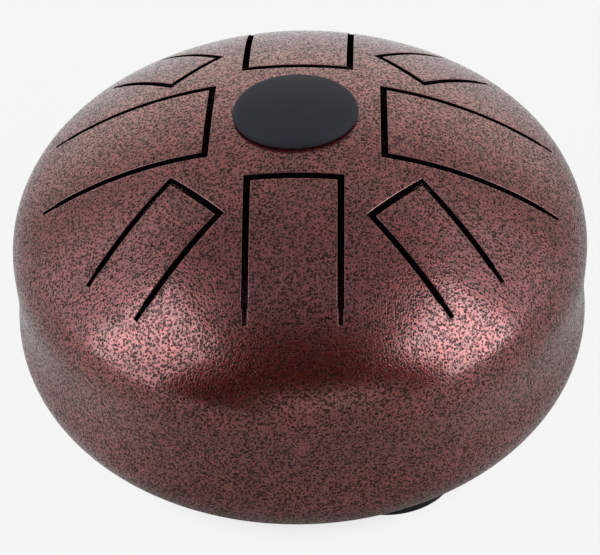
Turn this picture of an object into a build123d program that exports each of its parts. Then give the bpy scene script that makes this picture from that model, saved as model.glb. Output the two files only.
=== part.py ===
from build123d import *

import os
from math import acos, asin, atan2, cos, degrees, radians, sin, sqrt

# Steel tongue drum: a slotted steel dome welded to a steel bowl, with a rubber plug in the
# middle of the dome and rubber feet under the bowl. Millimetres, +Z up. The origin lies on the
# floor under the drum's axis, and the front tongue points towards -Y.

# Shells, outside sizes
dome_radius = 101.5
dome_crown_radius = 139.8
dome_knuckle_radius = 29.9
bowl_overhang = 0.65
bowl_crown_radius = 355.0
bowl_knuckle_radius = 22.9
bulge_spacing = 29.9
waist_depth = 0.35
wall = 2.0

# Weld at the waist, ground flush outside, with its bead left standing inside
weld_width = 3.0
weld_bead = 1.2

# Openings
plug_hole_radius = 16.0
port_radius = 22.0

# Tongues, each tuned by its own length: the distance of the tip slot from the axis, the width
# between the side slots' middles, the distance of the root from the axis and, where it is sawn
# a little out of its even place, the degrees that it is turned
front_tip = 29.8
front_width = 31.3
front_root = 79.0
front_right_tip = 48.8
front_right_width = 24.0
front_right_root = 86.4
front_right_turn = -0.6
right_tip = 30.1
right_width = 36.5
right_root = 89.5
right_turn = 0.4
rear_right_tip = 51.2
rear_right_width = 22.8
rear_right_root = 84.5
rear_tip = 29.8
rear_width = 36.6
rear_root = 90.0
rear_left_tip = 51.4
rear_left_width = 23.2
rear_left_root = 84.5
left_tip = 29.8
left_width = 36.4
left_root = 87.0
left_turn = -1.9
front_left_tip = 47.4
front_left_width = 23.9
front_left_root = 86.7
front_left_turn = 0.8

# Slots: sawn to their full width, then lengthened by a finer cut to tune the tongue
slot_width = 2.3
tuning_cut_width = 1.7
tuning_cut_length = 4.8

# Centre plug
plug_width = 43.0
plug_depth = 38.4
plug_turn = 5.8
plug_height = 5.3
plug_shoulder = 3.4
plug_edge_round = 2.9
plug_seat_gap = 0.6
plug_neck_clearance = 0.3
plug_neck_length = 9.0
plug_rib = 0.6
plug_wall = 4.0

# Feet: push-in rubber bumpers, square to the bowl, flattened where they stand
foot_names = ("foot_right", "foot_rear", "foot_left")
first_foot_azimuth = 30.0
foot_inset = 38.85
foot_radius = 22.3
foot_edge_height = 7.8
foot_dome_height = 3.5
foot_edge_round = 1.5
foot_flat_depth = 0.5
foot_seat_gap = 0.1
foot_stem_radius = 5.0
foot_stem_clearance = 0.15
foot_barb_overhang = 1.8
foot_barb_height = 7.0

# Sizes that follow from the dome's
bowl_radius = dome_radius + bowl_overhang
waist_radius = dome_radius - waist_depth
foot_circle_radius = bowl_radius - foot_inset

# The feet set how high the bowl stands: their domes' lowest point, less the flat, is the floor
foot_tilt = asin(foot_circle_radius / bowl_crown_radius)
foot_height = foot_edge_height + foot_dome_height
foot_dome_radius = (foot_radius**2 + foot_dome_height**2) / (2 * foot_dome_height)
foot_dome_centre = bowl_crown_radius + foot_height - foot_dome_radius
bowl_crown_z = foot_dome_centre * cos(foot_tilt) + foot_dome_radius - foot_flat_depth

# Levels that follow from the shells' arcs
bowl_arm = sqrt((bowl_crown_radius - bowl_knuckle_radius) ** 2 - (bowl_radius - bowl_knuckle_radius) ** 2)
bowl_bulge_z = bowl_crown_z - bowl_arm
dome_arm = sqrt((dome_crown_radius - dome_knuckle_radius) ** 2 - (dome_radius - dome_knuckle_radius) ** 2)
dome_bulge_z = bowl_bulge_z + bulge_spacing
dome_crown_z = dome_bulge_z - dome_arm
dome_top_z = dome_crown_z + dome_crown_radius
seam_z = (dome_bulge_z + bowl_bulge_z) / 2


def dome_height(radius, inset):
    """Height of the dome's crown at a distance from the axis, inset from its outside."""
    return dome_crown_z + sqrt((dome_crown_radius - inset) ** 2 - radius**2)


def dome_outline(inset, start_radius):
    """Crown, knuckle and flank of the dome, inset from its outside, down to the weld."""
    knuckle_centre = dome_radius - dome_knuckle_radius
    tangent_angle = degrees(atan2(dome_arm, knuckle_centre))
    start_angle = degrees(acos(start_radius / (dome_crown_radius - inset)))
    crown_sweep = start_angle - tangent_angle
    crown = CenterArc((0, dome_crown_z), dome_crown_radius - inset, tangent_angle, crown_sweep)
    CenterArc((knuckle_centre, dome_bulge_z), dome_knuckle_radius - inset, 0, tangent_angle)
    bulge = (dome_radius - inset, dome_bulge_z)
    rim = (waist_radius - inset, seam_z + weld_width / 2)
    Spline(bulge, rim, tangents=((0, -1), (0, -1)))
    return crown @ 1, rim


def bowl_outline(inset, start_radius):
    """Crown, knuckle and flank of the bowl, inset from its outside, up to the weld."""
    knuckle_centre = bowl_radius - bowl_knuckle_radius
    tangent_angle = degrees(atan2(bowl_arm, knuckle_centre))
    start_angle = degrees(acos(start_radius / (bowl_crown_radius - inset)))
    crown_sweep = tangent_angle - start_angle
    crown = CenterArc((0, bowl_crown_z), bowl_crown_radius - inset, -tangent_angle, crown_sweep)
    CenterArc((knuckle_centre, bowl_bulge_z), bowl_knuckle_radius - inset, 0, -tangent_angle)
    bulge = (bowl_radius - inset, bowl_bulge_z)
    rim = (waist_radius - inset, seam_z - weld_width / 2)
    Spline(bulge, rim, tangents=((0, 1), (0, 1)))
    return crown @ 1, rim


def foot_plane(azimuth):
    """Plane through a foot's axis, with its origin at the bowl crown's centre and its Y down the axis."""
    outward = Vector(sin(radians(azimuth)), -cos(radians(azimuth)), 0)
    across = outward * cos(foot_tilt) + Vector(0, 0, sin(foot_tilt))
    along = outward * sin(foot_tilt) - Vector(0, 0, cos(foot_tilt))
    return Plane(origin=(0, 0, bowl_crown_z), x_dir=across, z_dir=across.cross(along))


def finish(builder, name):
    """Label a finished piece and write it."""
    builder.part.label = name
    export_step(builder.part, f"parts/{name}.step")


os.makedirs("parts", exist_ok=True)

# Tongues in order round the dome, from the front towards the right
tongues = (
    (front_tip, front_width, front_root, 0),
    (front_right_tip, front_right_width, front_right_root, front_right_turn),
    (right_tip, right_width, right_root, right_turn),
    (rear_right_tip, rear_right_width, rear_right_root, 0),
    (rear_tip, rear_width, rear_root, 0),
    (rear_left_tip, rear_left_width, rear_left_root, 0),
    (left_tip, left_width, left_root, left_turn),
    (front_left_tip, front_left_width, front_left_root, front_left_turn),
)
tongue_step = 360 / len(tongues)

# Tongue shell: the dome's wall turned about the axis, then the slots cut straight down
cut_start = 5.0
with BuildPart() as tongue_shell:
    with BuildSketch(Plane.XZ):
        with BuildLine():
            outer_start, outer_rim = dome_outline(0, plug_hole_radius)
            inner_start, inner_rim = dome_outline(wall, plug_hole_radius)
            Line(outer_start, inner_start)
            Line(outer_rim, inner_rim)
        make_face()
    revolve(axis=Axis.Z)
    for index, (tip, width, root, turn) in enumerate(tongues):
        azimuth = index * tongue_step + turn
        main_end = root - tuning_cut_length
        main_length = main_end - tip + slot_width / 2
        across = (cos(radians(azimuth)), sin(radians(azimuth)), 0)
        slot_plane = Plane((0, 0, dome_top_z + cut_start), x_dir=across)
        main_centre = main_length / 2 - main_end
        tuning_centre = tuning_cut_length / 2 - root
        with BuildSketch(slot_plane):
            with Locations((0, -tip)):
                Rectangle(width + slot_width, slot_width)
            with Locations((-width / 2, main_centre), (width / 2, main_centre)):
                Rectangle(slot_width, main_length)
            with Locations((-width / 2, tuning_centre), (width / 2, tuning_centre)):
                Rectangle(tuning_cut_width, tuning_cut_length)
        extrude(amount=dome_bulge_z - dome_top_z - cut_start, mode=Mode.SUBTRACT)
finish(tongue_shell, "tongue_shell")

# Bowl shell: the bowl's wall turned about the axis, with the sound port and the feet's holes
foot_step = 360 / len(foot_names)
foot_azimuths = [first_foot_azimuth + foot_step * index for index in range(len(foot_names))]
with BuildPart() as bowl_shell:
    with BuildSketch(Plane.XZ):
        with BuildLine():
            outer_start, outer_rim = bowl_outline(0, port_radius)
            inner_start, inner_rim = bowl_outline(wall, port_radius)
            Line(outer_start, inner_start)
            Line(outer_rim, inner_rim)
        make_face()
    revolve(axis=Axis.Z)
    for azimuth in foot_azimuths:
        foot_axis_dir = foot_plane(azimuth).y_dir
        with BuildSketch(Plane(origin=(0, 0, bowl_crown_z), z_dir=foot_axis_dir)):
            Circle(foot_stem_radius + foot_stem_clearance)
        extrude(amount=bowl_crown_radius + wall, mode=Mode.SUBTRACT)
finish(bowl_shell, "bowl_shell")

# Weld ring: fills the gap between the two rims
with BuildPart() as seam_weld:
    with BuildSketch(Plane.XZ):
        with BuildLine():
            low = seam_z - weld_width / 2
            high = seam_z + weld_width / 2
            inside = waist_radius - wall
            Polyline((inside, low), (waist_radius, low), (waist_radius, high), (inside, high))
            ThreePointArc((inside, high), (inside - weld_bead, seam_z), (inside, low))
        make_face()
    revolve(axis=Axis.Z)
finish(seam_weld, "seam_weld")

# Centre plug: an oval domed head, turned a little, that stands just off the dome on a hollow neck
plug_radius = plug_width / 2
plug_top_z = dome_top_z + plug_height
shoulder_z = dome_height(plug_radius, 0) + plug_shoulder
neck_radius = plug_hole_radius - plug_neck_clearance - plug_rib
neck_bottom_z = dome_height(plug_hole_radius, wall) - plug_neck_length
with BuildPart() as plug_head:
    with BuildSketch(Plane.XZ) as head:
        with BuildLine():
            blank_bottom = dome_height(plug_radius, 0) - wall
            top = (0, plug_top_z)
            side = (plug_radius, shoulder_z)
            Polyline(top, (0, blank_bottom), (plug_radius, blank_bottom), side)
            TangentArc(top, side, tangent=(1, 0))
        make_face()
        shoulder = head.vertices().group_by(Axis.X)[-1].sort_by(Axis.Y)[-1]
        fillet(shoulder, plug_edge_round)
    revolve(axis=Axis.Z)
    scale(by=(1, plug_depth / plug_width, 1))
with BuildPart() as centre_plug:
    add(plug_head.part, rotation=(0, 0, plug_turn))
    with Locations((0, 0, dome_crown_z)):
        Sphere(dome_crown_radius + plug_seat_gap, mode=Mode.SUBTRACT)
    with BuildSketch(Plane.XY.offset(neck_bottom_z)):
        Circle(neck_radius)
    extrude(amount=shoulder_z - neck_bottom_z)
    rib_spacing = plug_neck_length / 3
    with Locations((0, 0, neck_bottom_z + rib_spacing), (0, 0, neck_bottom_z + 2 * rib_spacing)):
        Torus(neck_radius, plug_rib)
    with BuildSketch(Plane.XY.offset(neck_bottom_z)):
        Circle(neck_radius - plug_wall)
    extrude(amount=dome_top_z - neck_bottom_z, mode=Mode.SUBTRACT)
finish(centre_plug, "centre_plug")

# Feet: each seats on the bowl's outside and grips it with a barbed stem through its wall
seat_radius = bowl_crown_radius + foot_seat_gap
grip_radius = bowl_crown_radius - wall - foot_seat_gap
barb_radius = foot_stem_radius + foot_barb_overhang
barb_top = grip_radius - foot_barb_height
for name, azimuth in zip(foot_names, foot_azimuths):
    plane = foot_plane(azimuth)
    with BuildPart() as foot:
        with BuildSketch(plane) as profile:
            with BuildLine():
                seat_angles = [degrees(acos(r / seat_radius)) for r in (foot_radius, foot_stem_radius)]
                grip_angles = [degrees(acos(r / grip_radius)) for r in (barb_radius, foot_stem_radius)]
                seat = CenterArc((0, 0), seat_radius, seat_angles[0], seat_angles[1] - seat_angles[0])
                grip = CenterArc((0, 0), grip_radius, grip_angles[0], grip_angles[1] - grip_angles[0])
                Line(seat @ 1, grip @ 1)
                Polyline(grip @ 0, (foot_stem_radius - foot_barb_overhang, barb_top), (0, barb_top))
                rim = (foot_radius, bowl_crown_radius + foot_edge_height)
                apex = (0, bowl_crown_radius + foot_height)
                Line((0, barb_top), apex)
                TangentArc(apex, rim, tangent=(1, 0))
                Line(rim, seat @ 0)
            make_face()
            rim_corner = profile.vertices().group_by(Axis.X)[-1].sort_by(Axis.Y)[-1]
            fillet(rim_corner, foot_edge_round)
        revolve(axis=Axis((0, 0, bowl_crown_z), plane.y_dir))
        split(bisect_by=Plane.XY, keep=Keep.TOP)
    finish(foot, name)
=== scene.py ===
from math import acos, asin, atan2, cos, hypot, pi, radians, sin, sqrt, tau

import bmesh
import bpy
from bpy.props import FloatProperty, FloatVectorProperty, PointerProperty
from bpy.types import Operator, Panel, PropertyGroup
from mathutils import Matrix, Vector
from mathutils.geometry import delaunay_2d_cdt


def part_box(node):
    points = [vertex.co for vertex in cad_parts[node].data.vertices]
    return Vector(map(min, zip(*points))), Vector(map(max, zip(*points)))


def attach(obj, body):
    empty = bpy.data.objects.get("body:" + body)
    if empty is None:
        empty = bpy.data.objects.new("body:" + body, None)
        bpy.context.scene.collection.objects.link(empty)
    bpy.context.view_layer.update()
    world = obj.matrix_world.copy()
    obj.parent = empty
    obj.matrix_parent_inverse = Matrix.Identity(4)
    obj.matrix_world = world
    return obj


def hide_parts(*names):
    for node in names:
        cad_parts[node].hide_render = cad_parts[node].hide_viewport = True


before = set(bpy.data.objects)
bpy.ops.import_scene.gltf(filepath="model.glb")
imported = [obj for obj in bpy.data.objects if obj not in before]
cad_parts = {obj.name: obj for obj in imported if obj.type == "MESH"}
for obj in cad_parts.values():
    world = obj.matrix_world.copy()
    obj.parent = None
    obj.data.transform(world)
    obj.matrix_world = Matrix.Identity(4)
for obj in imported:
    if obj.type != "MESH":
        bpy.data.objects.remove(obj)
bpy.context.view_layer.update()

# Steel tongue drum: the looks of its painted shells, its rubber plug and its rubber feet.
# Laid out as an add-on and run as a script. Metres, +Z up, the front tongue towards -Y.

bl_info = {
    "name": "Steel tongue drum",
    "version": (1, 0, 0),
    "blender": (4, 5, 0),
    "location": "View3D > Sidebar > Tongue drum",
    "description": "Builds the painted shells, plug, feet and studio of a steel tongue drum",
    "category": "Object",
}

DOME_LOW, DOME_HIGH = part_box("tongue_shell")
BOWL_LOW, BOWL_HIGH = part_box("bowl_shell")
WELD_LOW, WELD_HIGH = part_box("seam_weld")
PLUG_LOW, PLUG_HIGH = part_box("centre_plug")

# The feet in order round the drum, and the ribs on the plug's neck
FOOT_SIDES = ("right", "rear", "left")
RIB_COUNT = 2

# Facets round the axis of each turned piece and of the plug's hole
SHELL_STEPS = 288
PLUG_STEPS = 128
FOOT_STEPS = 96
HOLE_STEPS = 96

# Facets along the bends of each outline
DOME_SIDE_STEPS = 16
BOWL_OUTSIDE_STEPS = 18
BOWL_INSIDE_STEPS = 12
COAT_ROUND_STEPS = 3
BEAD_STEPS = 6
PLUG_TOP_STEPS = 20
PLUG_EDGE_STEPS = 10
PLUG_LIP_STEPS = 4
PLUG_SEAT_STEPS = 4
RIB_STEPS = 8
FOOT_END_STEPS = 12
FOOT_EDGE_STEPS = 6
FOOT_SEAT_STEPS = 5

# Facets of the slotted crown: the distance between points outside and inside, the width of the
# strip along each slot, and the share of the knuckle's radius that the crown takes in
OUTSIDE_SPACING = 0.0025
INSIDE_SPACING = 0.006
SLOT_STRIP = 0.0006
CROWN_SHARE = 0.8

# The angle above which an edge stays crisp, and the distances within which points are one
CRISP_EDGE = radians(42)
MERGE_DISTANCE = 1e-6
PLAN_TOLERANCE = 1e-8


# Properties

def length(name, description, default):
    """A size in metres that a user may change."""
    return FloatProperty(name=name, description=description, default=default, precision=5,
                         subtype="DISTANCE", unit="LENGTH")


def lengths(name, description, default):
    """Several sizes in metres, such as one for each tongue from the front one to the right."""
    return FloatVectorProperty(name=name, description=description, default=default,
                               size=len(default), precision=5, unit="LENGTH")


def angle(name, description, degrees):
    """An angle that a user may change, given in degrees."""
    return FloatProperty(name=name, description=description, default=radians(degrees),
                         subtype="ANGLE", unit="ROTATION")


def angles(name, description, degrees):
    """Several angles, given in degrees."""
    return FloatVectorProperty(name=name, description=description, size=len(degrees),
                               default=[radians(d) for d in degrees], unit="ROTATION")


def factor(name, description, default):
    """A share between nothing and all."""
    return FloatProperty(name=name, description=description, default=default, min=0, max=1,
                         subtype="FACTOR")


def level(name, description, default):
    """The brightness of a lamp or a background, where 1 is white."""
    return FloatProperty(name=name, description=description, default=default, min=0)


def colour(name, description, default):
    """A colour in scene linear values."""
    return FloatVectorProperty(name=name, description=description, default=default, size=3,
                               min=0, max=1, subtype="COLOR")


class DrumShells(PropertyGroup):
    """Outside sizes of the dome and the bowl."""

    dome_radius: length("Dome radius", "Half the dome's width at its bulge", DOME_HIGH.x)
    dome_crown_radius: length("Dome crown", "Radius of the dome's crown", 0.1398)
    dome_knuckle_radius: length("Dome knuckle", "Radius of the bend round the dome", 0.0299)
    bowl_radius: length("Bowl radius", "Half the bowl's width at its bulge", BOWL_HIGH.x)
    bowl_crown_radius: length("Bowl crown", "Radius of the bowl's bottom", 0.355)
    bowl_knuckle_radius: length("Bowl knuckle", "Radius of the bend round the bowl", 0.0229)
    waist_radius: length("Waist radius", "Half the drum's width at the weld", WELD_HIGH.x)
    wall: length("Wall", "Thickness of the sheet", 0.002)
    plug_hole_radius: length("Plug hole", "Radius of the hole in the dome", 0.016)
    port_radius: length("Sound port", "Radius of the hole in the bowl", 0.022)
    weld_bead: length("Weld bead", "How far the weld stands proud inside", 0.0012)
    edge_round: length("Edge round", "Radius of the coat round the sawn edges", 0.0002)


class DrumTongues(PropertyGroup):
    """Sizes of the eight tongues, from the front one to the right, and of the slots round them."""

    tips: lengths("Tips", "Distance of each tip slot from the axis",
                  (0.0298, 0.0488, 0.0301, 0.0512, 0.0298, 0.0514, 0.0298, 0.0474))
    widths: lengths("Widths", "Width between the middles of each tongue's side slots",
                    (0.0313, 0.024, 0.0365, 0.0228, 0.0366, 0.0232, 0.0364, 0.0239))
    roots: lengths("Roots", "Distance of each tongue's root from the axis",
                   (0.079, 0.0864, 0.0895, 0.0845, 0.090, 0.0845, 0.087, 0.0867))
    turns: angles("Turns", "How far each tongue is sawn out of its even place",
                  (0, -0.6, 0.4, 0, 0, 0, -1.9, 0.8))
    slot_width: length("Slot width", "Width of the main saw cut", 0.0023)
    tuning_cut_width: length("Tuning cut width", "Width of the finer cut at the root", 0.0017)
    tuning_cut_length: length("Tuning cut length", "Length of the finer cut at the root", 0.0048)


class DrumPlug(PropertyGroup):
    """Sizes of the rubber plug."""

    width: length("Width", "The oval head's longer axis", 0.043)
    depth: length("Depth", "The oval head's shorter axis", 0.0384)
    turn: angle("Turn", "How far the oval is turned from square", 5.8)
    shoulder: length("Shoulder", "Height of the head's edge over the dome", 0.0034)
    edge_round: length("Edge round", "Radius of the head's edge", 0.0029)
    lip_round: length("Lip round", "Radius of the head's lower edge", 0.0006)
    seat_gap: length("Seat gap", "Gap between the head and the dome", 0.0006)
    neck_radius: length("Neck radius", "Radius of the neck between its ribs", 0.0151)
    rib: length("Rib", "How far the ribs stand out of the neck", 0.0006)
    neck_wall: length("Neck wall", "Thickness of the hollow neck", 0.004)
    neck_length: length("Neck length", "Length of the neck below the dome's inside", 0.009)


class DrumFeet(PropertyGroup):
    """Sizes of the push-in rubber feet."""

    circle_radius: length("Circle radius", "Distance of the feet's seats from the axis", 0.0633)
    radius: length("Radius", "Radius of a foot's head", 0.0223)
    edge_height: length("Edge height", "Height of a foot's straight side", 0.0078)
    dome_height: length("Dome height", "How far a foot's end bulges", 0.0035)
    edge_round: length("Edge round", "Radius of a foot's outer edge", 0.0015)
    seat_gap: length("Seat gap", "Gap between a foot and the bowl", 0.0001)
    stem_radius: length("Stem radius", "Radius of the stem through the bowl", 0.005)
    barb_overhang: length("Barb overhang", "How far the barb stands out of the stem", 0.0018)
    barb_height: length("Barb height", "Height of the barb inside the bowl", 0.007)
    first_azimuth: angle("First azimuth", "Where the right foot stands, from the front", 30)


class DrumFinish(PropertyGroup):
    """Colours and grain of the coat and the rubber."""

    coat_red: colour("Coat red", "Flakes where the coat's network is thick", (0.80, 0.135, 0.12))
    coat_maroon: colour("Coat maroon", "Flakes where the network is thin", (0.30, 0.048, 0.047))
    lacquer_red: colour("Lacquer red", "Lacquer between the flakes", (0.115, 0.010, 0.010))
    pit_brown: colour("Pit brown", "Bottoms of the coat's pits", (0.026, 0.006, 0.005))
    # Painted highlight: pale pink mixed into the coat along the slots' rounded edges
    highlight_pink: colour("Edge pink", "Coat drawn thin over an edge", (0.42, 0.17, 0.16))
    # Painted shade: near black on the slots' sawn walls, standing in for the shadow in the narrow cuts
    slot_shade_black: colour("Soot black", "Sawn walls of the slots", (0.004, 0.003, 0.003))
    pit_spacing: length("Pit spacing", "Mean distance between the coat's pits", 0.00084)
    pit_depth: length("Pit depth", "Depth of the coat's largest pits", 0.00003)
    drift_size: length("Drift size", "Width of the coat's slow drifts in thickness", 0.006)
    drift_height: length("Drift height", "How far the drifts stand up", 0.00004)
    grain_size: length("Grain size", "Width of the coat's grains", 0.0010)
    grain_height: length("Grain height", "How far the grains stand up", 0.000012)
    flake_size: length("Flake size", "Width of the coat's clumps of flakes", 0.00055)
    flake_height: length("Flake height", "How far the clumps of flakes stand up", 0.00001)
    plug_black: colour("Plug rubber", "Colour of the plug's rubber", (0.031, 0.030, 0.044))
    plug_rough: factor("Plug roughness", "Mean roughness of the plug's rubber", 0.66)
    foot_black: colour("Foot rubber", "Colour of the feet's rubber", (0.014, 0.016, 0.020))
    foot_rough: factor("Foot roughness", "Mean roughness of the feet's rubber", 0.5)
    bloom_size: length("Bloom size", "Width of the clouds in the rubber's bloom", 0.008)
    bloom_height: length("Bloom height", "How far the rubber's clouds stand up", 0.00008)
    rubber_grain: length("Rubber grain", "Width of the rubber's grains", 0.0004)
    rubber_grain_height: length("Rubber grain height", "How far the rubber's grains stand up", 0.00003)


class DrumStudio(PropertyGroup):
    """Camera, lamps and background. A place is an azimuth from the front and an elevation."""

    azimuth: angle("Azimuth", "Where the camera stands, from the front towards the right", 2.404)
    elevation: angle("Elevation", "How far the camera looks down", 42.093)
    roll: angle("Roll", "How far the camera leans", -1.949)
    distance: length("Distance", "From the camera to the point that it looks at", 0.9032)
    target_side: length("Target side", "Where the camera looks, right of the drum's axis", -0.00036)
    target_height: length("Target height", "Height of the point that the camera looks at", 0.0489)
    lens: FloatProperty(name="Lens", description="Focal length on a 36 mm sensor", default=150.5,
                        subtype="DISTANCE_CAMERA")
    background: level("Background", "Brightness of the floor and backdrop to the camera", 0.965)
    floor_half: length("Floor half", "Half the floor's width", 4.0)
    floor_grey: colour("Floor grey", "Colour of the floor's paper", (0.52, 0.51, 0.50))
    floor_white: factor("Floor white", "Share of the floor's white that takes no shadow", 0.93)
    floor_gloss: factor("Floor gloss", "Share of white in the floor that the coat mirrors", 0.82)
    room: level("Room", "Brightness of the dark side of the studio, behind the camera", 0.02)
    room_glow: level("Room glow", "Brightness of the pale spot low down in the dark room", 0.50)
    glow_place: angles("Glow place", "Where the pale spot is", (13, 4))
    ceiling: level("Ceiling", "Brightness of the ceiling", 0.335)
    ceiling_gain: factor("Ceiling gain", "How much brighter the ceiling is at the back", 0.5)
    walls: level("Walls", "Brightness of the side walls by the softboxes", 0.91)
    right_wall: factor("Right wall", "Brightness of the right wall as a share of the left", 0.95)
    right_floor: factor("Right floor", "Light on the mirrored floor's right as a share of the left", 0.74)
    cool: colour("Cool", "Tint of the light from the side walls", (0.87, 0.93, 1.0))
    warm: colour("Warm", "Tint of the light from the front and the back", (0.985, 1.0, 0.94))
    corners: level("Corners", "Brightness between the side walls and the backdrop", 0.45)
    backdrop: level("Backdrop", "Brightness of the backdrop that the coat mirrors", 1.0)
    box_distance: length("Softbox distance", "From the drum to the softboxes", 2.0)
    left_box: level("Left softbox", "Brightness of the left softbox", 1.6)
    left_place: angles("Left place", "Where the left softbox is", (-63, 27))
    left_size: lengths("Left size", "Width and height of the left softbox", (1.1, 2.2))
    right_box: level("Right softbox", "Brightness of the right softbox", 2.3)
    right_place: angles("Right place", "Where the right softbox is", (67, 26))
    right_size: lengths("Right size", "Width and height of the right softbox", (1.05, 1.9))


# Form of the shells

def leg(radius, distance):
    """How far a circle's edge is over its centre, at a distance from its axis."""
    return sqrt(radius ** 2 - distance ** 2)


def even_steps(start, end, steps):
    """Values from a start to an end, both included."""
    return [start + (end - start) * i / steps for i in range(steps + 1)]


def arc(centre, radius, start, end, steps):
    """Points of (radius, height) along an arc, both ends included."""
    turns = even_steps(start, end, steps)
    return [(centre[0] + radius * cos(t), centre[1] + radius * sin(t)) for t in turns]


def domed_end(radius, top, rise, edge_round, steps, edge_steps):
    """Points from a domed end's top on the axis to its upright side, its edge rounded."""
    crown = (radius ** 2 + rise ** 2) / (2 * rise)
    centre = top - crown
    bend = radius - edge_round
    bend_z = centre + leg(crown - edge_round, bend)
    turn = atan2(bend_z - centre, bend)
    edge = arc((bend, bend_z), edge_round, turn, 0, edge_steps)
    return arc((0, centre), crown, pi / 2, turn, steps) + edge[1:]


def flank(bulge, rim, steps):
    """Points from a shell's bulge to its rim, upright at both ends, without the bulge itself."""
    shares = even_steps(0, 1, steps)[1:]
    ease = [3 * t ** 2 - 2 * t ** 3 for t in shares]
    return [(bulge[0] + (rim[0] - bulge[0]) * e, bulge[1] + (rim[1] - bulge[1]) * t)
            for t, e in zip(shares, ease)]


class ShellForm:
    """Levels and outlines of the dome and the bowl, from their sizes and the frame."""

    def __init__(self, sizes):
        self.sizes = sizes
        self.dome_knuckle = sizes.dome_radius - sizes.dome_knuckle_radius
        dome_reach = sizes.dome_crown_radius - sizes.dome_knuckle_radius
        self.dome_turn = acos(self.dome_knuckle / dome_reach)
        self.dome_crown_z = DOME_HIGH.z - leg(sizes.dome_crown_radius, sizes.plug_hole_radius)
        self.dome_bulge_z = self.dome_crown_z + dome_reach * sin(self.dome_turn)
        self.dome_top_z = self.dome_crown_z + sizes.dome_crown_radius
        self.bowl_knuckle = sizes.bowl_radius - sizes.bowl_knuckle_radius
        bowl_reach = sizes.bowl_crown_radius - sizes.bowl_knuckle_radius
        self.bowl_turn = acos(self.bowl_knuckle / bowl_reach)
        self.bowl_crown_z = BOWL_LOW.z + leg(sizes.bowl_crown_radius, sizes.port_radius)
        self.bowl_bulge_z = self.bowl_crown_z - bowl_reach * sin(self.bowl_turn)

    def dome_height(self, radius, inset):
        """Height of the dome at a distance from the axis, inset from its outside."""
        crown = self.sizes.dome_crown_radius - inset
        if radius < crown * cos(self.dome_turn):
            return self.dome_crown_z + leg(crown, radius)
        bend = self.sizes.dome_knuckle_radius - inset
        return self.dome_bulge_z + leg(bend, radius - self.dome_knuckle)

    def dome_side(self, inset, start_radius, steps):
        """Points from a distance on the dome's knuckle down to its rim."""
        bend = self.sizes.dome_knuckle_radius - inset
        start = acos((start_radius - self.dome_knuckle) / bend)
        knuckle = arc((self.dome_knuckle, self.dome_bulge_z), bend, start, 0, steps)
        rim = (self.sizes.waist_radius - inset, DOME_LOW.z)
        return knuckle + flank(knuckle[-1], rim, steps // 2)

    def bowl_side(self, inset, end_radius, steps):
        """Points from the bowl's rim down its side and along its bottom to a distance."""
        crown = self.sizes.bowl_crown_radius - inset
        bend = self.sizes.bowl_knuckle_radius - inset
        end = -acos(end_radius / crown)
        knuckle = arc((self.bowl_knuckle, self.bowl_bulge_z), bend, 0, -self.bowl_turn, steps)
        bottom = arc((0, self.bowl_crown_z), crown, -self.bowl_turn, end, steps)
        rim = (self.sizes.waist_radius - inset, BOWL_HIGH.z)
        return flank(knuckle[0], rim, steps // 2)[::-1] + knuckle + bottom[1:]


# Slots

class Slot:
    """One tongue's slot from above: across and outward from the axis, then turned into place."""

    def __init__(self, tongues, index):
        turn = tau * index / len(tongues.tips) + tongues.turns[index]
        self.across = Vector((cos(turn), sin(turn)))
        self.outward = Vector((sin(turn), -cos(turn)))
        self.tip = tongues.tips[index]
        self.root = tongues.roots[index]
        self.half = tongues.widths[index] / 2
        self.main = tongues.slot_width / 2
        self.fine = tongues.tuning_cut_width / 2
        self.main_end = self.root - tongues.tuning_cut_length

    def corners(self):
        """The slot's sixteen corners, anticlockwise, as (across, outward)."""
        right = [
            (self.half + self.main, self.tip - self.main),
            (self.half + self.main, self.main_end),
            (self.half + self.fine, self.main_end),
            (self.half + self.fine, self.root),
            (self.half - self.fine, self.root),
            (self.half - self.fine, self.main_end),
            (self.half - self.main, self.main_end),
            (self.half - self.main, self.tip + self.main),
        ]
        return right + [(-u, v) for u, v in reversed(right)]

    def loop(self, offset, spacing):
        """Points of the slot's outline, grown by an offset into the metal."""
        corners = [Vector(c) for c in self.corners()]
        count = len(corners)
        sides = [(corners[(i + 1) % count] - corners[i]) for i in range(count)]
        outs = [Vector((s.y, -s.x)).normalized() for s in sides]
        grown = [corners[i] + (outs[i - 1] + outs[i]) * offset for i in range(count)]
        points = []
        for i, side in enumerate(sides):
            pieces = max(1, round(side.length / spacing))
            step = (grown[(i + 1) % count] - grown[i]) / pieces
            points += [grown[i] + step * k for k in range(pieces)]
        return [self.across * p.x + self.outward * p.y for p in points]

    def holds(self, point, margin):
        """Whether a point seen from above lies in the slot, or within a margin of it."""
        aside = abs(point.dot(self.across))
        along = point.dot(self.outward)
        by_tip = abs(along - self.tip) <= self.main + margin
        by_main = abs(aside - self.half) <= self.main + margin
        by_fine = abs(aside - self.half) <= self.fine + margin
        in_tip = by_tip and (by_main or aside <= self.half)
        in_main = by_main and self.tip <= along <= self.main_end + margin
        in_fine = by_fine and self.main_end <= along <= self.root + margin
        return in_tip or in_main or in_fine


# Mesh of the slotted dome

def ring(radius, steps):
    """Points round the axis, seen from above."""
    return [Vector((cos(tau * i / steps), sin(tau * i / steps))) * radius for i in range(steps)]


def bridge(bm, first, second):
    """Quads between two closed loops of as many vertices."""
    for i in range(len(first)):
        bm.faces.new((first[i - 1], first[i], second[i], second[i - 1]))


def lifted(bm, points, height):
    """Vertices over points seen from above, each at the height for its distance from the axis."""
    return [bm.verts.new((p.x, p.y, height(p.length))) for p in points]


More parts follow.
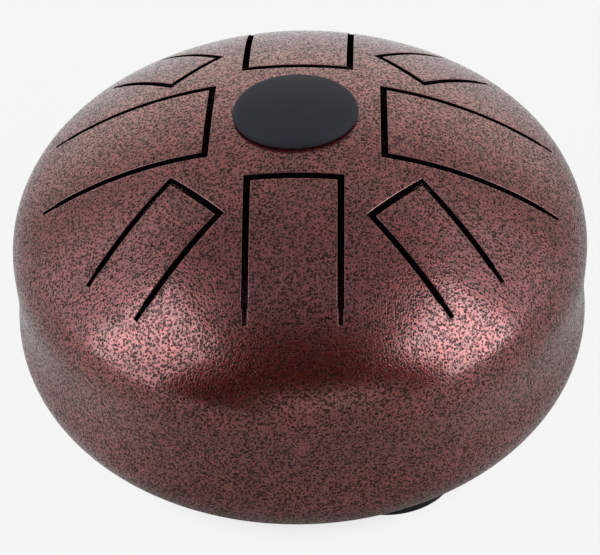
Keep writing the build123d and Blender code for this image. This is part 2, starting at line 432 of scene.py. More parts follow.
def plan_surface(bm, loops, strips, between, spacing, slots, margin, height):
    """Triangles between loops seen from above, lifted to a height. Returns each loop's vertices."""
    points = []
    edges = []
    starts = []
    for loop in loops + strips:
        first = len(points)
        starts.append(first)
        points += loop
        edges += [(first + i, first + (i + 1) % len(loop)) for i in range(len(loop))]
    low, high = between
    rows = max(2, round((high - low) / spacing))
    for row in range(1, rows):
        radius = low + (high - low) * row / rows
        count = round(tau * radius / spacing)
        turn = Matrix.Rotation(row * pi / count, 2)
        spread = [turn @ p for p in ring(radius, count)]
        points += [p for p in spread if not any(s.holds(p, margin + spacing / 2) for s in slots)]
    flat, _, faces, origins, _, _ = delaunay_2d_cdt(points, edges, [], 0, PLAN_TOLERANCE)
    verts = lifted(bm, flat, height)
    inner_margin = margin - MERGE_DISTANCE
    for face in faces:
        middle = sum((flat[i] for i in face), Vector((0, 0))) / len(face)
        if low < middle.length < high and not any(s.holds(middle, inner_margin) for s in slots):
            bm.faces.new([verts[i] for i in face])
    place = {origin: i for i, found in enumerate(origins) for origin in found}
    kept = []
    for start, loop in zip(starts, loops):
        kept.append([verts[place[start + i]] for i in range(len(loop))])
    for loose in [v for v in verts if not v.link_faces]:
        bm.verts.remove(loose)
    return kept


def tongue_shell_mesh(form, tongues):
    """The dome's sheet with its eight slots, their edges rounded by the coat."""
    sizes = form.sizes
    edge = sizes.edge_round
    hole = sizes.plug_hole_radius
    bm = bmesh.new()
    # Marks where a painted highlight goes on the slots' rounded edges
    highlight_layer = bm.verts.layers.float.new("edge_highlight")
    # Marks where painted shade goes on the slots' sawn walls
    painted_shade = bm.verts.layers.float.new("painted_slot_shade")
    slots = [Slot(tongues, i) for i in range(len(tongues.tips))]
    outer_join = form.dome_knuckle + sizes.dome_knuckle_radius * CROWN_SHARE
    inner_join = form.dome_knuckle + (sizes.dome_knuckle_radius - sizes.wall) * CROWN_SHARE

    def openings(offset):
        """Each slot's outline and the plug hole's, grown by an offset into the metal."""
        return [s.loop(offset, OUTSIDE_SPACING) for s in slots] + [ring(hole + offset, HOLE_STEPS)]

    def outside(radius):
        """Height of the dome's outside."""
        return form.dome_height(radius, 0)

    def inside(radius):
        """Height of the dome's inside."""
        return form.dome_height(radius, sizes.wall)

    # Outside of the crown, and the coat's round from there to each sawn wall, marked for a painted
    # highlight
    rims = openings(edge) + [ring(outer_join, SHELL_STEPS)]
    strips = [s.loop(edge + SLOT_STRIP, OUTSIDE_SPACING) for s in slots]
    between = (hole + edge, outer_join)
    spacing = OUTSIDE_SPACING
    *upper, outer_loop = plan_surface(bm, rims, strips, between, spacing, slots, edge, outside)
    for step in range(1, COAT_ROUND_STEPS + 1):
        bend = pi / 2 * step / COAT_ROUND_STEPS
        outlines = openings(edge * (1 - sin(bend)))
        drop = edge * (1 - cos(bend))
        rings = [lifted(bm, o, lambda radius: outside(radius) - drop) for o in outlines]
        for above, below in zip(upper, rings):
            bridge(bm, above, below)
            for v in below:
                v[highlight_layer] = 1 if step < COAT_ROUND_STEPS else 0.5
        upper = rings

    # Inside of the crown, and the sawn walls, marked for painted shade
    rims = openings(0) + [ring(inner_join, SHELL_STEPS)]
    between = (hole, inner_join)
    spacing = INSIDE_SPACING
    *lower, inner_loop = plan_surface(bm, rims, [], between, spacing, slots, 0, inside)
    for above, below in zip(upper, lower):
        bridge(bm, above, below)
        for v in above + below:
            v[painted_shade] = 1

    # Side of the dome, down its outside and up its inside
    outer_side = form.dome_side(0, outer_join, DOME_SIDE_STEPS)[1:]
    inner_side = form.dome_side(sizes.wall, inner_join, DOME_SIDE_STEPS // 2)[1:]
    loops = [outer_loop]
    for radius, z in outer_side + inner_side[::-1]:
        loops.append(lifted(bm, ring(radius, SHELL_STEPS), lambda _: z))
    loops.append(inner_loop)
    for above, below in zip(loops, loops[1:]):
        bridge(bm, above, below)

    bmesh.ops.recalc_face_normals(bm, faces=bm.faces)
    mesh = bpy.data.meshes.new("TongueShell")
    bm.to_mesh(mesh)
    bm.free()
    return mesh


# Node trees

def arithmetic(operation, reflected=False):
    """A method for one of Python's operators, which adds a Math node."""
    def method(self, other):
        values = (other, self) if reflected else (self, other)
        return self.bench.math(operation, *values)
    return method


class Wire:
    """A socket that can be used in Python expressions: each operator adds a Math node."""

    def __init__(self, bench, socket):
        self.bench = bench
        self.socket = socket

    def also(self, output):
        """Another output of the same node."""
        return Wire(self.bench, self.socket.node.outputs[output])

    __add__ = arithmetic("ADD")
    __sub__ = arithmetic("SUBTRACT")
    __mul__ = arithmetic("MULTIPLY")
    __truediv__ = arithmetic("DIVIDE")
    __radd__ = arithmetic("ADD", reflected=True)
    __rsub__ = arithmetic("SUBTRACT", reflected=True)
    __rmul__ = arithmetic("MULTIPLY", reflected=True)
    __rtruediv__ = arithmetic("DIVIDE", reflected=True)


class Bench:
    """Adds nodes to one tree and wires them together."""

    def __init__(self, tree):
        self.tree = tree
        tree.nodes.clear()

    def add(self, kind, settings=(), sockets=(), output=0):
        """A node of a kind, its settings made before its sockets. Returns one of its outputs."""
        node = self.tree.nodes.new(kind)
        for name, value in dict(settings).items():
            setattr(node, name, value)
        for name, value in dict(sockets).items():
            if isinstance(value, Wire):
                self.tree.links.new(value.socket, node.inputs[name])
            else:
                node.inputs[name].default_value = value
        return Wire(self, node.outputs[output]) if node.outputs else None

    def math(self, operation, *values):
        """A Math node on values."""
        return self.add("ShaderNodeMath", {"operation": operation}, enumerate(values))

    def vector_math(self, operation, *values, output=0):
        """A Vector Math node on values."""
        return self.add("ShaderNodeVectorMath", {"operation": operation}, enumerate(values), output)

    def axes(self, vector):
        """The three parts of a vector."""
        x = self.add("ShaderNodeSeparateXYZ", (), {"Vector": vector})
        return x, x.also("Y"), x.also("Z")

    def blend(self, share, first, second):
        """A colour between two."""
        return self.add("ShaderNodeMix", {"data_type": "RGBA"}, {0: share, 6: first, 7: second}, 2)

    def rise(self, value, low, high):
        """A smooth step from 0 at low to 1 at high."""
        ends = {"Value": value, "From Min": low, "From Max": high}
        return self.add("ShaderNodeMapRange", {"interpolation_type": "SMOOTHSTEP"}, ends)

    def noise(self, place, grain, detail, output=0):
        """Noise whose blotches are about a grain across."""
        sockets = {"Vector": place, "Scale": 1 / grain, "Detail": detail}
        return self.add("ShaderNodeTexNoise", (), sockets, output)

    def bump(self, height):
        """A normal that follows a height in metres."""
        return self.add("ShaderNodeBump", (), {"Strength": 1.0, "Distance": 1.0, "Height": height})

    def layer(self, share, under, over):
        """A shader with a share of another over it."""
        return self.add("ShaderNodeMixShader", (), {0: share, 1: under, 2: over})


# Meshes of the turned pieces

def turning_tree():
    """Geometry nodes that turn a profile, points in the XZ plane, round the Z axis."""
    name = "Turned profile"
    if name in bpy.data.node_groups:
        return bpy.data.node_groups[name]
    tree = bpy.data.node_groups.new(name, "GeometryNodeTree")
    bench = Bench(tree)
    for label, kind in (("Profile", "Geometry"), ("Steps", "Int"), ("Finish", "Material")):
        tree.interface.new_socket(label, in_out="INPUT", socket_type="NodeSocket" + kind)
    tree.interface.new_socket("Turned", in_out="OUTPUT", socket_type="NodeSocketGeometry")
    profile = bench.add("NodeGroupInput")
    count = bench.add("GeometryNodeAttributeDomainSize", (), {"Geometry": profile})
    sides = {"Vertices X": count, "Vertices Y": profile.also("Steps") + 1}
    grid = bench.add("GeometryNodeMeshGrid", (), sides)
    along, round_axis, _ = bench.axes(grid.also("UV Map"))
    sample = {
        "Geometry": profile,
        "Value": bench.add("GeometryNodeInputPosition"),
        "Index": bench.math("ROUND", along * (count - 1)),
    }
    point = bench.add("GeometryNodeSampleIndex", {"data_type": "FLOAT_VECTOR"}, sample)
    radius, _, height = bench.axes(point)
    turn = round_axis * tau
    x = radius * bench.math("COSINE", turn)
    y = radius * bench.math("SINE", turn)
    place = bench.add("ShaderNodeCombineXYZ", (), {"X": x, "Y": y, "Z": height})
    surface = bench.add("GeometryNodeSetPosition", (), {"Geometry": grid, "Position": place})
    welded = {"Geometry": surface, "Distance": MERGE_DISTANCE}
    surface = bench.add("GeometryNodeMergeByDistance", (), welded)
    surface = bench.add("GeometryNodeRealizeInstances", (), {"Geometry": surface})
    finished = {"Geometry": surface, "Material": profile.also("Finish")}
    surface = bench.add("GeometryNodeSetMaterial", (), finished)
    bench.add("NodeGroupOutput", (), {"Turned": surface})
    return tree


def turned_mesh(name, profile, steps, finish):
    """A closed mesh turned by geometry nodes from a profile of (radius, height) points."""
    tree = turning_tree()
    points = bpy.data.meshes.new(name + "_profile")
    points.from_pydata([(radius, 0, z) for radius, z in profile], [], [])
    holder = bpy.data.objects.new(name + "_profile", points)
    bpy.context.scene.collection.objects.link(holder)
    modifier = holder.modifiers.new("Turned profile", "NODES")
    modifier.node_group = tree
    sockets = {item.name: item.identifier for item in tree.interface.items_tree}
    modifier[sockets["Steps"]] = steps
    modifier[sockets["Finish"]] = finish
    depsgraph = bpy.context.evaluated_depsgraph_get()
    mesh = bpy.data.meshes.new_from_object(holder.evaluated_get(depsgraph))
    mesh.name = name
    holder.modifiers.remove(modifier)
    bpy.data.objects.remove(holder)
    bpy.data.meshes.remove(points)
    reshape(mesh, lambda bm: bmesh.ops.recalc_face_normals(bm, faces=bm.faces))
    return mesh


def reshape(mesh, change):
    """Runs a change on a mesh through bmesh."""
    bm = bmesh.new()
    bm.from_mesh(mesh)
    change(bm)
    bm.to_mesh(mesh)
    bm.free()


def stand_flat(bm):
    """Cuts a mesh off flat at the floor."""
    geometry = bm.verts[:] + bm.edges[:] + bm.faces[:]
    cut = bmesh.ops.bisect_plane(bm, geom=geometry, plane_co=(0, 0, 0), plane_no=(0, 0, -1),
                                 clear_outer=True)
    rim = [item for item in cut["geom_cut"] if isinstance(item, bmesh.types.BMEdge)]
    bmesh.ops.contextual_create(bm, geom=rim)
    bmesh.ops.recalc_face_normals(bm, faces=bm.faces)


def bowl_profile(form):
    """The bowl's closed outline: down its outside, round the port's edge and up its inside."""
    sizes = form.sizes
    edge = sizes.edge_round
    port = sizes.port_radius + edge
    outer = form.bowl_side(0, port, BOWL_OUTSIDE_STEPS)
    inner = form.bowl_side(sizes.wall, port, BOWL_INSIDE_STEPS)
    low = outer[-1][1]
    high = inner[-1][1]
    lower_edge = arc((port, low + edge), edge, -pi / 2, -pi, COAT_ROUND_STEPS)
    upper_edge = arc((port, high - edge), edge, pi, pi / 2, COAT_ROUND_STEPS)
    profile = outer + lower_edge[1:] + upper_edge + inner[::-1][1:]
    return profile + profile[:1]


def weld_profile(sizes):
    """The weld's closed outline: flush outside, with a round bead inside."""
    low = WELD_LOW.z
    high = WELD_HIGH.z
    inside = sizes.waist_radius - sizes.wall
    half = (high - low) / 2
    bead_radius = (half ** 2 + sizes.weld_bead ** 2) / (2 * sizes.weld_bead)
    bead_turn = asin(half / bead_radius)
    bead_centre = (inside - sizes.weld_bead + bead_radius, (low + high) / 2)
    bead = arc(bead_centre, bead_radius, pi + bead_turn, pi - bead_turn, BEAD_STEPS)
    profile = [(sizes.waist_radius, high), (sizes.waist_radius, low), *bead]
    return profile + profile[:1]


def plug_profile(form, plug, seat_height):
    """The plug's outline from its top to its bore, as if its head were round."""
    radius = plug.width / 2

    # Head: a shallow arc over the top, rounded into an upright side with a soft lower lip
    top = PLUG_HIGH.z
    rise = top - (form.dome_height(radius, 0) + plug.shoulder)
    over = domed_end(radius, top, rise, plug.edge_round, PLUG_TOP_STEPS, PLUG_EDGE_STEPS)
    lip_r = radius - plug.lip_round
    lip_z = seat_height(lip_r) + plug.lip_round
    lip = arc((lip_r, lip_z), plug.lip_round, 0, -pi / 2, PLUG_LIP_STEPS)
    under = even_steps(lip_r, plug.neck_radius, PLUG_SEAT_STEPS)[1:]
    head = over + lip + [(r, seat_height(r)) for r in under]

    # Neck: round ribs, a flat end and a blind bore
    neck = []
    for place in range(RIB_COUNT, 0, -1):
        rib_z = PLUG_LOW.z + plug.neck_length / (RIB_COUNT + 1) * place
        neck += arc((plug.neck_radius, rib_z), plug.rib, pi / 2, -pi / 2, RIB_STEPS)
    bore = plug.neck_radius - plug.neck_wall
    end = [(plug.neck_radius, PLUG_LOW.z), (bore, PLUG_LOW.z)]
    end += [(bore, form.dome_top_z), (0, form.dome_top_z)]
    return head + neck + end


def foot_profile(form, feet):
    """A foot's outline along its own axis, which starts at the centre of the bowl's bottom."""
    bowl = form.sizes.bowl_crown_radius
    seat = bowl + feet.seat_gap
    grip = bowl - form.sizes.wall - feet.seat_gap
    barb_radius = feet.stem_radius + feet.barb_overhang
    barb_top = grip - feet.barb_height

    # Points of (radius, distance down the axis)
    end = domed_end(feet.radius, bowl + feet.edge_height + feet.dome_height, feet.dome_height,
                    feet.edge_round, FOOT_END_STEPS, FOOT_EDGE_STEPS)
    under = even_steps(feet.radius, feet.stem_radius, FOOT_SEAT_STEPS)
    head = end + [(r, leg(seat, r)) for r in under]
    barb = [(r, leg(grip, r)) for r in (feet.stem_radius, barb_radius)]
    tip = [(feet.stem_radius - feet.barb_overhang, barb_top), (0, barb_top)]
    return [(radius, -down) for radius, down in head + barb + tip]


def add_piece(name, mesh, finish, node, body):
    """Puts a finished mesh in the scene in place of its node."""
    mesh.materials.clear()
    mesh.materials.append(finish)
    mesh.polygons.foreach_set("use_smooth", [True] * len(mesh.polygons))
    mesh.set_sharp_from_angle(angle=CRISP_EDGE)
    piece = bpy.data.objects.new(name, mesh)
    bpy.context.scene.collection.objects.link(piece)
    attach(piece, body)
    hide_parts(node)


# Finishes

# Pits of the coat, as shares of their spacing: the noise that pushes them out of round, how far it
# does, the smallest pit's radius, and how much larger the largest is
PUSH_GRAIN = 0.8
PUSH = 0.55
SMALLEST_PIT = 0.34
PIT_RANGE = 0.33

# Across a pit, as shares of its radius: where its dark bottom ends, and how steep its hollow is
PIT_EDGE = (0.88, 1.02)
PIT_SLOPE = 0.85

# Shares of the palest pit's darkness, of the painted pink highlight over the slots' edges, of lacquer
# among the flakes, of the matt shader in a pit, and of the film's gloss that a pit takes away
PALEST_PIT = 0.55
EDGE_HIGHLIGHT_SHARE = 0.6
LACQUER_SHARE = 0.5
MATT_SHARE = 0.6
GLOSS_LOSS = 0.9

# Thickness of the red network: the shares of drift, grain and flakes, and where thin turns thick
DRIFT_SHARE = 0.25
GRAIN_SHARE = 0.3
FLAKE_SHARE = 0.45
THIN_TO_THICK = (0.45, 0.60)

# Roughness of the clear film, what pits and grain add to it, and what flakes under it add
FILM_ROUGH = 0.10
PIT_ROUGH = 0.05
GRAIN_ROUGH = 0.08
FLAKE_ROUGH = 0.11

# Rubber: its dark and pale shades as shares of its colour, the bloom's share in that shade, and
# what bloom and grain add to its roughness
DARK_SHADE = 0.82
PALE_SHADE = 1.20
BLOOM_SHARE = 0.7
BLOOM_ROUGH = 0.14
RUBBER_GRAIN_ROUGH = 0.10

NOISE_MEAN = 0.5
WHITE = (1, 1, 1, 1)


def opaque(tint):
    """A colour with full alpha."""
    return (*tint, 1)


def new_material(name):
    """An empty material and the bench for its nodes, or None for the bench if it exists."""
    if name in bpy.data.materials:
        return bpy.data.materials[name], None
    material = bpy.data.materials.new(name)
    material.use_nodes = True
    return material, Bench(material.node_tree)


def coat_pits(bench, place, spacing):
    """Uneven round pits of many sizes: their dark bottoms, their hollows and a tone for each."""
    push = bench.noise(place, spacing * PUSH_GRAIN, 1.0, "Color")
    centred = bench.vector_math("SUBTRACT", push, (NOISE_MEAN,) * 3)
    uneven = bench.vector_math("MULTIPLY_ADD", centred, (spacing * PUSH,) * 3, place)
    reach = bench.add("ShaderNodeTexVoronoi", (), {"Vector": uneven, "Scale": 1 / spacing})
    size, tone, _ = bench.axes(reach.also("Color"))
    spread = reach / (SMALLEST_PIT + PIT_RANGE * size)
    pit = 1 - bench.rise(spread, *PIT_EDGE)
    slope = spread * PIT_SLOPE
    hollow = bench.math("MAXIMUM", 1 - slope * slope, 0.0)
    return pit, hollow, tone


def hammertone_coat(finish):
    """Metallic red coat that has drawn itself into a raised network round small dark pits."""
    material, bench = new_material("Hammertone coat")
    if bench is None:
        return material
    place = bench.add("ShaderNodeTexCoord", output="Object")
    # Mask for the painted highlight on the slots' rounded edges
    edge_highlight_mask = bench.add("ShaderNodeAttribute", {"attribute_name": "edge_highlight"}, output="Fac")
    # Mask for the painted shade on the slots' sawn walls
    in_painted_shade = bench.add("ShaderNodeAttribute", {"attribute_name": "painted_slot_shade"}, output="Fac")
    pit, hollow, tone = coat_pits(bench, place, finish.pit_spacing)
    drift = bench.noise(place, finish.drift_size, 3.0)
    grain = bench.noise(place, finish.grain_size, 2.0)
    flake = bench.noise(place, finish.flake_size, 1.0)

    # Colours of the flakes and of the lacquer, both brown in the pits
    brown = opaque(finish.pit_brown)
    thickness = drift * DRIFT_SHARE + grain * GRAIN_SHARE + flake * FLAKE_SHARE
    thick = bench.rise(thickness, *THIN_TO_THICK)
    network = bench.blend(thick, opaque(finish.coat_maroon), opaque(finish.coat_red))
    dark = pit * (PALEST_PIT + (1 - PALEST_PIT) * tone) * (1 - edge_highlight_mask)
    metal = bench.blend(dark, network, brown)
    # Painted highlight: pale pink over the slots' rounded edges
    metal = bench.blend(edge_highlight_mask * EDGE_HIGHLIGHT_SHARE, metal, opaque(finish.highlight_pink))
    body = bench.blend(dark, opaque(finish.lacquer_red), brown)

    # Relief and roughness
    height = hollow * (-1 * finish.pit_depth) + drift * finish.drift_height
    height = height + grain * finish.grain_height + flake * finish.flake_height
    bump = bench.bump(height)
    rough = FILM_ROUGH + PIT_ROUGH * pit + GRAIN_ROUGH * grain

    # Layers: flakes in lacquer, the pits' matt bottoms, a clear film over all, and painted shade on the
    # slots' sawn walls
    sheen = {"Base Color": metal, "Metallic": 1.0, "Roughness": rough + FLAKE_ROUGH, "Normal": bump}
    flakes = bench.add("ShaderNodeBsdfPrincipled", (), sheen)
    binder = {"Base Color": body, "Roughness": 0.6, "Specular IOR Level": 0.0, "Normal": bump}
    lacquer = bench.add("ShaderNodeBsdfPrincipled", (), binder)
    dull = {"Base Color": brown, "Roughness": 0.5, "IOR": 1.2, "Normal": bump}
    matt = bench.add("ShaderNodeBsdfPrincipled", (), dull)
    clear = {"Base Color": WHITE, "Metallic": 1.0, "Roughness": rough, "Normal": bump}
    film = bench.add("ShaderNodeBsdfPrincipled", (), clear)
    gloss = bench.add("ShaderNodeFresnel", (), {"IOR": 2.0, "Normal": bump})
    # Painted shade: near-black diffuse over the sawn walls of the slots
    painted_shade = bench.add("ShaderNodeBsdfDiffuse", (), {"Color": opaque(finish.slot_shade_black)})
    coat = bench.layer(LACQUER_SHARE, flakes, lacquer)
    coat = bench.layer(dark * MATT_SHARE, coat, matt)
    coat = bench.layer(gloss * (1 - GLOSS_LOSS * dark), coat, film)
    coat = bench.layer(in_painted_shade, coat, painted_shade)
    bench.add("ShaderNodeOutputMaterial", (), {"Surface": coat})
    return material


def moulded_rubber(name, finish, tint, roughness):
    """Dark moulded rubber with a fine matt grain and faint bloom."""
    material, bench = new_material(name)
    if bench is None:
        return material
    place = bench.add("ShaderNodeTexCoord", output="Object")
    bloom = bench.noise(place, finish.bloom_size, 3.0)
    grain = bench.noise(place, finish.rubber_grain, 2.0)
    dark = opaque(c * DARK_SHADE for c in tint)
    pale = opaque(c * PALE_SHADE for c in tint)
    shade = bloom * BLOOM_SHARE + grain * (1 - BLOOM_SHARE)
    uneven = BLOOM_ROUGH * (bloom - NOISE_MEAN) + RUBBER_GRAIN_ROUGH * (grain - NOISE_MEAN)
    shader = {
        "Base Color": bench.blend(shade, dark, pale),
        "Roughness": roughness + uneven,
        "IOR": 1.35,
        "Normal": bench.bump(grain * finish.rubber_grain_height + bloom * finish.bloom_height),
    }
    surface = bench.add("ShaderNodeBsdfPrincipled", (), shader)
    bench.add("ShaderNodeOutputMaterial", (), {"Surface": surface})
    return material


# Operators, one for each piece or group of like pieces

class DRUM_OT_tongue_shell(Operator):
    """Builds the dome with its eight tongues"""

    bl_idname = "drum.tongue_shell"
    bl_label = "Tongue shell"

    def execute(self, context):
        scene = context.scene
        coat = hammertone_coat(scene.drum_finish)
        mesh = tongue_shell_mesh(ShellForm(scene.drum_shells), scene.drum_tongues)
        add_piece("TongueShell", mesh, coat, "tongue_shell", "drum")
        return {"FINISHED"}


class DRUM_OT_bowl_shell(Operator):
    """Builds the bowl with its sound port"""

    bl_idname = "drum.bowl_shell"
    bl_label = "Bowl shell"

    def execute(self, context):
        scene = context.scene
        coat = hammertone_coat(scene.drum_finish)
        profile = bowl_profile(ShellForm(scene.drum_shells))
        mesh = turned_mesh("BowlShell", profile, SHELL_STEPS, coat)
        add_piece("BowlShell", mesh, coat, "bowl_shell", "drum")
        return {"FINISHED"}


class DRUM_OT_seam_weld(Operator):
    """Builds the weld between the shells, flush outside and beaded inside"""

    bl_idname = "drum.seam_weld"
    bl_label = "Seam weld"

    def execute(self, context):
        scene = context.scene
        coat = hammertone_coat(scene.drum_finish)
        profile = weld_profile(scene.drum_shells)
        mesh = turned_mesh("SeamWeld", profile, SHELL_STEPS, coat)
        add_piece("SeamWeld", mesh, coat, "seam_weld", "drum")
        return {"FINISHED"}


class DRUM_OT_centre_plug(Operator):
    """Builds the rubber plug: an oval domed head on a ribbed, hollow neck"""

    bl_idname = "drum.centre_plug"
    bl_label = "Centre plug"

    def execute(self, context):
        plug = context.scene.drum_plug
        finish = context.scene.drum_finish
        form = ShellForm(context.scene.drum_shells)
        rubber = moulded_rubber("Plug rubber", finish, finish.plug_black, finish.plug_rough)
        seat = form.sizes.dome_crown_radius + plug.seat_gap
        seat_centre = Vector((0, 0, form.dome_crown_z))

        def seat_height(distance):
            """Height of the head's underside at a distance from the axis."""
            return form.dome_crown_z + leg(seat, distance)

        def make_oval(bm):
            """Squeezes the head, and lays its underside on the dome again."""
            for v in bm.verts:
                over = v.co.z > form.dome_top_z + MERGE_DISTANCE
                if over or hypot(v.co.x, v.co.y) > plug.neck_radius + plug.rib:
                    seated = abs((v.co - seat_centre).length - seat) < MERGE_DISTANCE
                    v.co.y *= plug.depth / plug.width
                    if seated:
                        v.co.z = seat_height(hypot(v.co.x, v.co.y))

        profile = plug_profile(form, plug, seat_height)
        mesh = turned_mesh("CentrePlug", profile, PLUG_STEPS, rubber)
        reshape(mesh, make_oval)
        mesh.transform(Matrix.Rotation(plug.turn, 4, "Z"))
        add_piece("CentrePlug", mesh, rubber, "centre_plug", "plug")
        return {"FINISHED"}


class DRUM_OT_feet(Operator):
    """Builds the three push-in rubber feet"""

    bl_idname = "drum.feet"
    bl_label = "Feet"

    def execute(self, context):
        feet = context.scene.drum_feet
        finish = context.scene.drum_finish
        form = ShellForm(context.scene.drum_shells)
        rubber = moulded_rubber("Foot rubber", finish, finish.foot_black, finish.foot_rough)
        profile = foot_profile(form, feet)
        tilt = asin(feet.circle_radius / form.sizes.bowl_crown_radius)
        for index, side in enumerate(FOOT_SIDES):
            turn = feet.first_azimuth + tau / len(FOOT_SIDES) * index
            outward = Vector((sin(turn), -cos(turn), 0))
            up = Vector((0, 0, cos(tilt))) - outward * sin(tilt)
            across = outward * cos(tilt) + Vector((0, 0, sin(tilt)))
            place = Matrix((across, up.cross(across), up)).transposed().to_4x4()
            place.translation = (0, 0, form.bowl_crown_z)
            name = "Foot" + side.capitalize()
            mesh = turned_mesh(name, profile, FOOT_STEPS, rubber)
            mesh.transform(place)
            reshape(mesh, stand_flat)
            add_piece(name, mesh, rubber, "foot_" + side, "drum")
        return {"FINISHED"}


# Stage

# Where parts of the studio begin and are full, as shares of a direction to the right, to the back,
# to the front, upwards or towards the pale spot
RIGHT_SIDE = (0.1, 0.7)
CORNERS_BACK = (0.25, 0.6)
BACKDROP_BACK = (0.55, 0.9)
CEILING_UP = (0.65, 0.9)
CEILING_BACK = (0.12, 0.45)
ROOM_FRONT = (0.26, 0.48)
GLOW_NEAR = (0.80, 1.02)
WARM_BACK = (0.1, 0.7)
WARM_FRONT = (0.3, 0.6)
FLOOR_SIDES = (-0.98, -0.5)
FLOOR_BACK = (0.5, 1.0)

# Distances from the axis between which the floor comes out from under the drum
UNDER_DRUM = (0.045, 0.085)
# Width of the camera's sensor in millimetres
SENSOR_WIDTH = 36


def heading(azimuth, elevation):
    """Direction from the drum at an azimuth from the front and an elevation, in radians."""
    return Vector((sin(azimuth) * cos(elevation), -cos(azimuth) * cos(elevation), sin(elevation)))


def rays(bench):
    """1 for rays from the camera, and 1 for rays that a surface mirrors or lets through."""
    seen = bench.add("ShaderNodeLightPath", output="Is Camera Ray")
    return seen, seen.also("Is Glossy Ray") + seen.also("Is Transmission Ray")


def right_dim(bench, across, share):
    """1 on the left, falling to a share on the right."""
    return 1 - bench.rise(across, *RIGHT_SIDE) * (1 - share)


def add_camera(scene, studio, target):
    """The camera, leaning by its roll."""
    back = heading(studio.azimuth, studio.elevation)
    level_right = Vector((cos(studio.azimuth), sin(studio.azimuth), 0))
    level_up = back.cross(level_right)
    right = level_right * cos(studio.roll) + level_up * sin(studio.roll)
    up = back.cross(right)
    data = bpy.data.cameras.new("Camera")
    data.lens = studio.lens
    data.sensor_width = SENSOR_WIDTH
    camera = bpy.data.objects.new("Camera", data)
    place = Matrix((right, up, back)).transposed().to_4x4()
    place.translation = target + back * studio.distance
    camera.matrix_world = place
    scene.collection.objects.link(camera)
    scene.camera = camera


def add_softbox(name, target, distance, place, size, brightness):
    """A rectangular lamp that faces the drum and doesn't show to the camera."""
    direction = heading(*place)
    lamp = bpy.data.lights.new(name, "AREA")
    lamp.shape = "RECTANGLE"
    lamp.size, lamp.size_y = size
    lamp.energy = brightness * pi * size[0] * size[1]
    box = bpy.data.objects.new(name, lamp)
    bpy.context.scene.collection.objects.link(box)
    box.location = target + direction * distance
    box.rotation_euler = direction.to_track_quat("Z", "Y").to_euler()
    box.visible_camera = False


def add_floor(studio):
    """A pale floor that is white to the camera apart from the drum's faint shadow."""
    half = studio.floor_half
    corners = [(-half, -half, 0), (half, -half, 0), (half, half, 0), (-half, half, 0)]
    mesh = bpy.data.meshes.new("Floor")
    mesh.from_pydata(corners, [], [(0, 1, 2, 3)])
    floor = bpy.data.objects.new("Floor", mesh)
    bpy.context.scene.collection.objects.link(floor)
    material, bench = new_material("Floor")
    mesh.materials.append(material)
    seen, mirrored = rays(bench)
    place = bench.add("ShaderNodeTexCoord", output="Object")
    across, depth, _ = bench.axes(bench.vector_math("NORMALIZE", place))
    reach = bench.vector_math("LENGTH", place, output="Value")
    beside = bench.rise(reach, *UNDER_DRUM)

    # In the coat's mirror image, the floor is dark in front, half white beside and white behind
    sheen = bench.rise(depth, *FLOOR_SIDES) * 0.5 + bench.rise(depth, *FLOOR_BACK) * 0.5
    sheen = sheen * right_dim(bench, across, studio.right_floor)
    share = seen * beside * studio.floor_white + mirrored * sheen * studio.floor_gloss
    paper = bench.add("ShaderNodeBsdfDiffuse", (), {"Color": opaque(studio.floor_grey)})
    glow = bench.add("ShaderNodeEmission", (), {"Color": WHITE, "Strength": studio.background})
    bench.add("ShaderNodeOutputMaterial", (), {"Surface": bench.layer(share, paper, glow)})


def add_world(scene, studio):
    """White to the camera. The drum sees pale walls, a dim ceiling and a dark room in front."""
    world = bpy.data.worlds.new("Studio")
    scene.world = world
    world.use_nodes = True
    bench = Bench(world.node_tree)
    seen, mirrored = rays(bench)
    direction = bench.add("ShaderNodeTexCoord", output="Generated")
    across, depth, rise = bench.axes(direction)

    # Side walls, the dimmer corners behind them, the backdrop, and the ceiling over all
    pale = studio.walls + bench.rise(depth, *CORNERS_BACK) * (studio.corners - studio.walls)
    behind = bench.rise(depth, *BACKDROP_BACK) * (studio.backdrop - studio.corners)
    pale = (pale + mirrored * behind) * right_dim(bench, across, studio.right_wall)
    overhead = studio.ceiling * (1 + studio.ceiling_gain * bench.rise(depth, *CEILING_BACK))
    pale = pale + bench.rise(rise, *CEILING_UP) * (overhead - pale)

    # Dark room in front, with a pale spot low down
    near = bench.vector_math("DOT_PRODUCT", direction, heading(*studio.glow_place), output="Value")
    dark = studio.room + bench.rise(near, *GLOW_NEAR) * studio.room_glow
    lit = pale + bench.rise(0 - depth, *ROOM_FRONT) * (dark - pale)
    strength = lit + seen * (studio.background - lit)

    # Cool light from the sides, warm light from the front and the back
    ends = bench.rise(depth, *WARM_BACK) + bench.rise(0 - depth, *WARM_FRONT)
    tint = bench.blend(ends, opaque(studio.cool), opaque(studio.warm))
    tint = bench.blend(seen, tint, WHITE)
    surface = bench.add("ShaderNodeBackground", (), {"Color": tint, "Strength": strength})
    bench.add("ShaderNodeOutputWorld", (), {"Surface": surface})


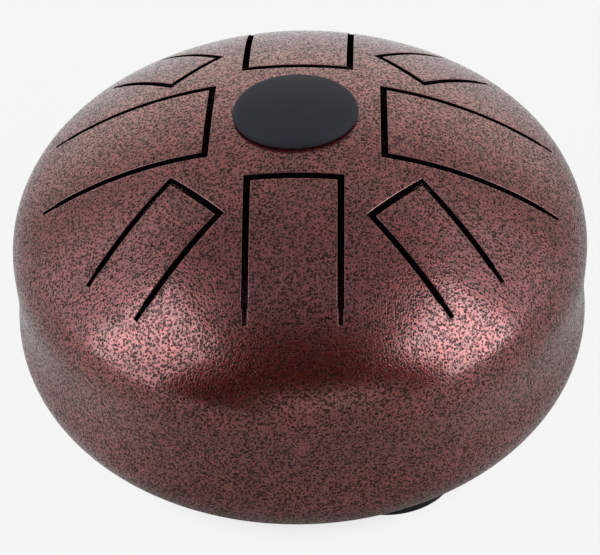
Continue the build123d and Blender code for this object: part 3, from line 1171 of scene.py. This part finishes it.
class DRUM_OT_stage(Operator):
    """Sets up the floor, lamps, background and camera"""

    bl_idname = "drum.stage"
    bl_label = "Stage"

    def execute(self, context):
        scene = context.scene
        studio = scene.drum_studio
        target = Vector((studio.target_side, 0, studio.target_height))
        distance = studio.box_distance
        add_camera(scene, studio, target)
        add_floor(studio)
        add_world(scene, studio)
        add_softbox("Left softbox", target, distance, studio.left_place, studio.left_size,
                    studio.left_box)
        add_softbox("Right softbox", target, distance, studio.right_place, studio.right_size,
                    studio.right_box)
        scene.view_settings.view_transform = "Standard"
        return {"FINISHED"}


class DRUM_PT_panel(Panel):
    """Lists the drum's sizes and builders"""

    bl_idname = "DRUM_PT_panel"
    bl_label = "Tongue drum"
    bl_space_type = "VIEW_3D"
    bl_region_type = "UI"
    bl_category = "Tongue drum"

    def draw(self, context):
        for name in GROUPS:
            column = self.layout.column(align=True)
            group = getattr(context.scene, name)
            for key in group.__annotations__:
                column.prop(group, key)
        for builder in BUILDERS:
            self.layout.operator(builder.bl_idname)


GROUPS = {
    "drum_shells": DrumShells,
    "drum_tongues": DrumTongues,
    "drum_plug": DrumPlug,
    "drum_feet": DrumFeet,
    "drum_finish": DrumFinish,
    "drum_studio": DrumStudio,
}
BUILDERS = (
    DRUM_OT_tongue_shell,
    DRUM_OT_bowl_shell,
    DRUM_OT_seam_weld,
    DRUM_OT_centre_plug,
    DRUM_OT_feet,
    DRUM_OT_stage,
)
CLASSES = (*GROUPS.values(), *BUILDERS, DRUM_PT_panel)


def register():
    """Adds the classes, and the settings to the scene."""
    for cls in CLASSES:
        bpy.utils.register_class(cls)
    for name, group in GROUPS.items():
        setattr(bpy.types.Scene, name, PointerProperty(type=group))


def unregister():
    """Takes out what register added."""
    for name in GROUPS:
        delattr(bpy.types.Scene, name)
    for cls in reversed(CLASSES):
        bpy.utils.unregister_class(cls)


def main():
    """Builds the drum and its stage."""
    register()
    bpy.ops.drum.tongue_shell()
    bpy.ops.drum.bowl_shell()
    bpy.ops.drum.seam_weld()
    bpy.ops.drum.centre_plug()
    bpy.ops.drum.feet()
    bpy.ops.drum.stage()


if __name__ == "__main__":
    main()
